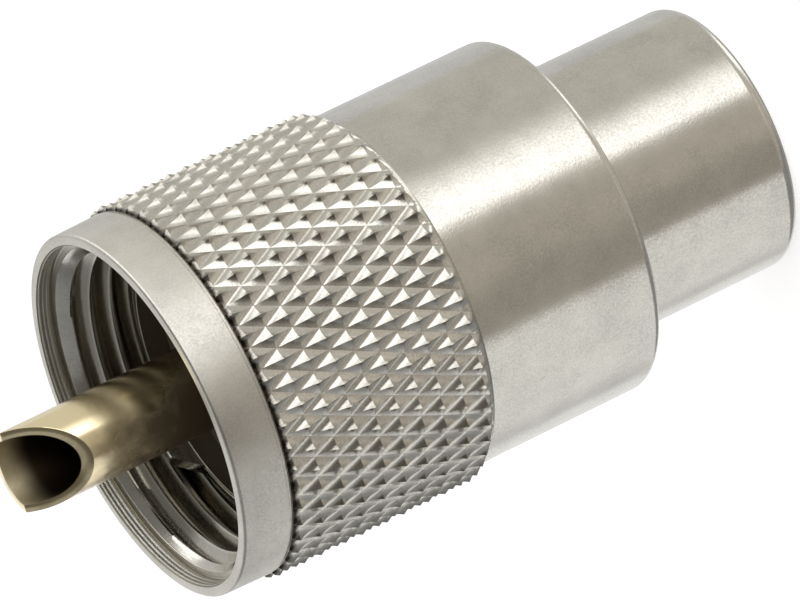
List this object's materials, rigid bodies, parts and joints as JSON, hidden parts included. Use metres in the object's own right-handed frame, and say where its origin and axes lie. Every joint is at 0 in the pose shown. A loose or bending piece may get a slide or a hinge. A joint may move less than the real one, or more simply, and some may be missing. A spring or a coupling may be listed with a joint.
{
  "type": "coaxial plug",
  "caption": "Coaxial plug with a hollow centre contact inside a diamond-knurled screw-on coupling ring and a plain tubular tail for the cable.",
  "frame": {"origin": "centre of the rear end of the tail, on the surface the plug stands on", "axes": "+Z along the plug's axis from the cable end to the tip of the centre contact; +X and +Y across it"},
  "size_m": [0.0182, 0.0182, 0.0377],
  "materials": {
    "nickel_plated_brass": "satin nickel plate over turned brass",
    "bare_brass": "plain drawn brass tube",
    "phenolic": "moulded, dull"
  },
  "bodies": {
    "plug": {"plug_body": "nickel_plated_brass", "insulator": "phenolic", "centre_contact": "bare_brass"},
    "ring": {"coupling_ring": "nickel_plated_brass"}
  },
  "joints": [
    {"name": "ring_spin", "type": "hinge", "parent": "plug", "child": "ring", "pos_m": [0, 0, 0.0202], "axis": [0, 0, 1], "continuous": true}
  ]
}
